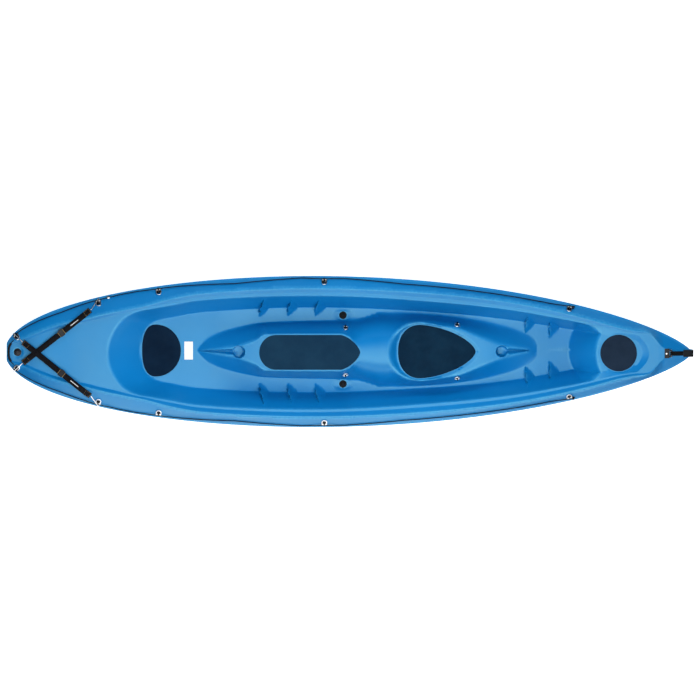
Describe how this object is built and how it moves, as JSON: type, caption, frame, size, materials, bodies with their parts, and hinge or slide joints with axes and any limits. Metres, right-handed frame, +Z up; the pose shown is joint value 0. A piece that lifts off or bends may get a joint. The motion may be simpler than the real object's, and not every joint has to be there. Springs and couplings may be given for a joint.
{
  "type": "sit-on-top kayak",
  "caption": "Tandem sit-on-top kayak: welded hull and deck shells with seat wells, footwells, pads, plugs, deck fittings and carry handles.",
  "frame": {"origin": "on the ground under the middle of the boat, at the centre of its footprint", "axes": "+X to the bow, +Y to port, +Z up"},
  "size_m": [3.9, 0.862, 0.3515],
  "materials": {
    "hull_plastic": "satin moulded polyethylene",
    "pad_foam": "matt closed-cell foam with a fine grain",
    "black_plastic": "satin moulded nylon",
    "webbing": "woven webbing",
    "rope": "braided cord",
    "buoyancy_foam": "matt foam",
    "black_rubber": "matt rubber",
    "steel": "polished stainless steel",
    "label": "blank satin vinyl"
  },
  "bodies": {
    "root": {"hull_shell": "hull_plastic", "deck_shell": "hull_plastic", "rear_seat_pad": "pad_foam", "centre_seat_pad": "pad_foam", "front_seat_pad": "pad_foam", "bow_deck_pad": "pad_foam", "foam_block_stern": "buoyancy_foam", "foam_block_centre": "buoyancy_foam", "foam_block_bow": "buoyancy_foam", "scupper_tube_port": "hull_plastic", "scupper_tube_starboard": "hull_plastic", "drain_housing": "black_plastic", "pad_eye_stern_port": "black_plastic", "pad_eye_strap_port": "black_plastic", "pad_eye_rear_port": "black_plastic", "pad_eye_mid_port": "black_plastic", "pad_eye_bow_port": "black_plastic", "backrest_eye_rear_port": "black_plastic", "backrest_eye_front_port": "black_plastic", "pad_eye_stern_starboard": "black_plastic", "pad_eye_strap_starboard": "black_plastic", "pad_eye_rear_starboard": "black_plastic", "pad_eye_mid_starboard": "black_plastic", "pad_eye_bow_starboard": "black_plastic", "backrest_eye_rear_starboard": "black_plastic", "backrest_eye_front_starboard": "black_plastic", "perimeter_rope_port": "rope", "perimeter_rope_starboard": "rope", "rope_bead_port": "black_plastic", "cargo_strap_port": "webbing", "strap_hook_fore_port": "steel", "strap_hook_aft_port": "steel", "cargo_strap_starboard": "webbing", "strap_hook_fore_starboard": "steel", "strap_hook_aft_starboard": "steel", "bow_handle_bracket": "black_plastic", "bow_handle_pin": "steel", "bow_handle_screw": "steel", "blank_label": "label"},
    "drain_seal_body": {"drain_seal": "black_rubber"},
    "drain_plug_body": {"drain_plug": "black_plastic"},
    "scupper_plug_port_body": {"scupper_plug_port": "black_rubber"},
    "scupper_plug_starboard_body": {"scupper_plug_starboard": "black_rubber"},
    "stern_handle": {"stern_handle_cord": "rope", "stern_handle_tube": "black_rubber"},
    "bow_handle": {"bow_handle_strap": "webbing", "bow_handle_grip": "black_rubber"},
    "buckle_port": {"strap_buckle_port": "black_plastic"},
    "buckle_starboard": {"strap_buckle_starboard": "black_plastic"}
  },
  "joints": [
    {"name": "drain_lift", "type": "slide", "parent": "root", "child": "drain_seal_body", "axis": [0, 0, 1], "range_m": [0, 0.0125]},
    {"name": "drain_turn", "type": "hinge", "parent": "drain_seal_body", "child": "drain_plug_body", "pos_m": [-1.887, 0, 0.262], "axis": [0, 0, 1], "range_deg": [0, 1080]},
    {"name": "scupper_plug_port_pull", "type": "slide", "parent": "root", "child": "scupper_plug_port_body", "axis": [0, 0, 1], "range_m": [0, 0.06]},
    {"name": "scupper_plug_starboard_pull", "type": "slide", "parent": "root", "child": "scupper_plug_starboard_body", "axis": [0, 0, 1], "range_m": [0, 0.06]},
    {"name": "stern_handle_swing", "type": "hinge", "parent": "root", "child": "stern_handle", "pos_m": [-1.908, 0, 0.2745], "axis": [0, 1, 0], "range_deg": [0, 120]},
    {"name": "bow_handle_swing", "type": "hinge", "parent": "root", "child": "bow_handle", "pos_m": [1.824, 0, 0.345], "axis": [0, -1, 0], "range_deg": [0, 110]},
    {"name": "buckle_port_slide", "type": "slide", "parent": "root", "child": "buckle_port", "axis": [0.778, 0.6212, 0.094], "range_m": [-0.03, 0.03]},
    {"name": "buckle_starboard_slide", "type": "slide", "parent": "root", "child": "buckle_starboard", "axis": [0.778, -0.6212, 0.094], "range_m": [-0.03, 0.03]}
  ],
  "couplings": [
    {"joint": "drain_lift", "follows": "drain_turn", "m_per_rad": 0.00063662}
  ]
}
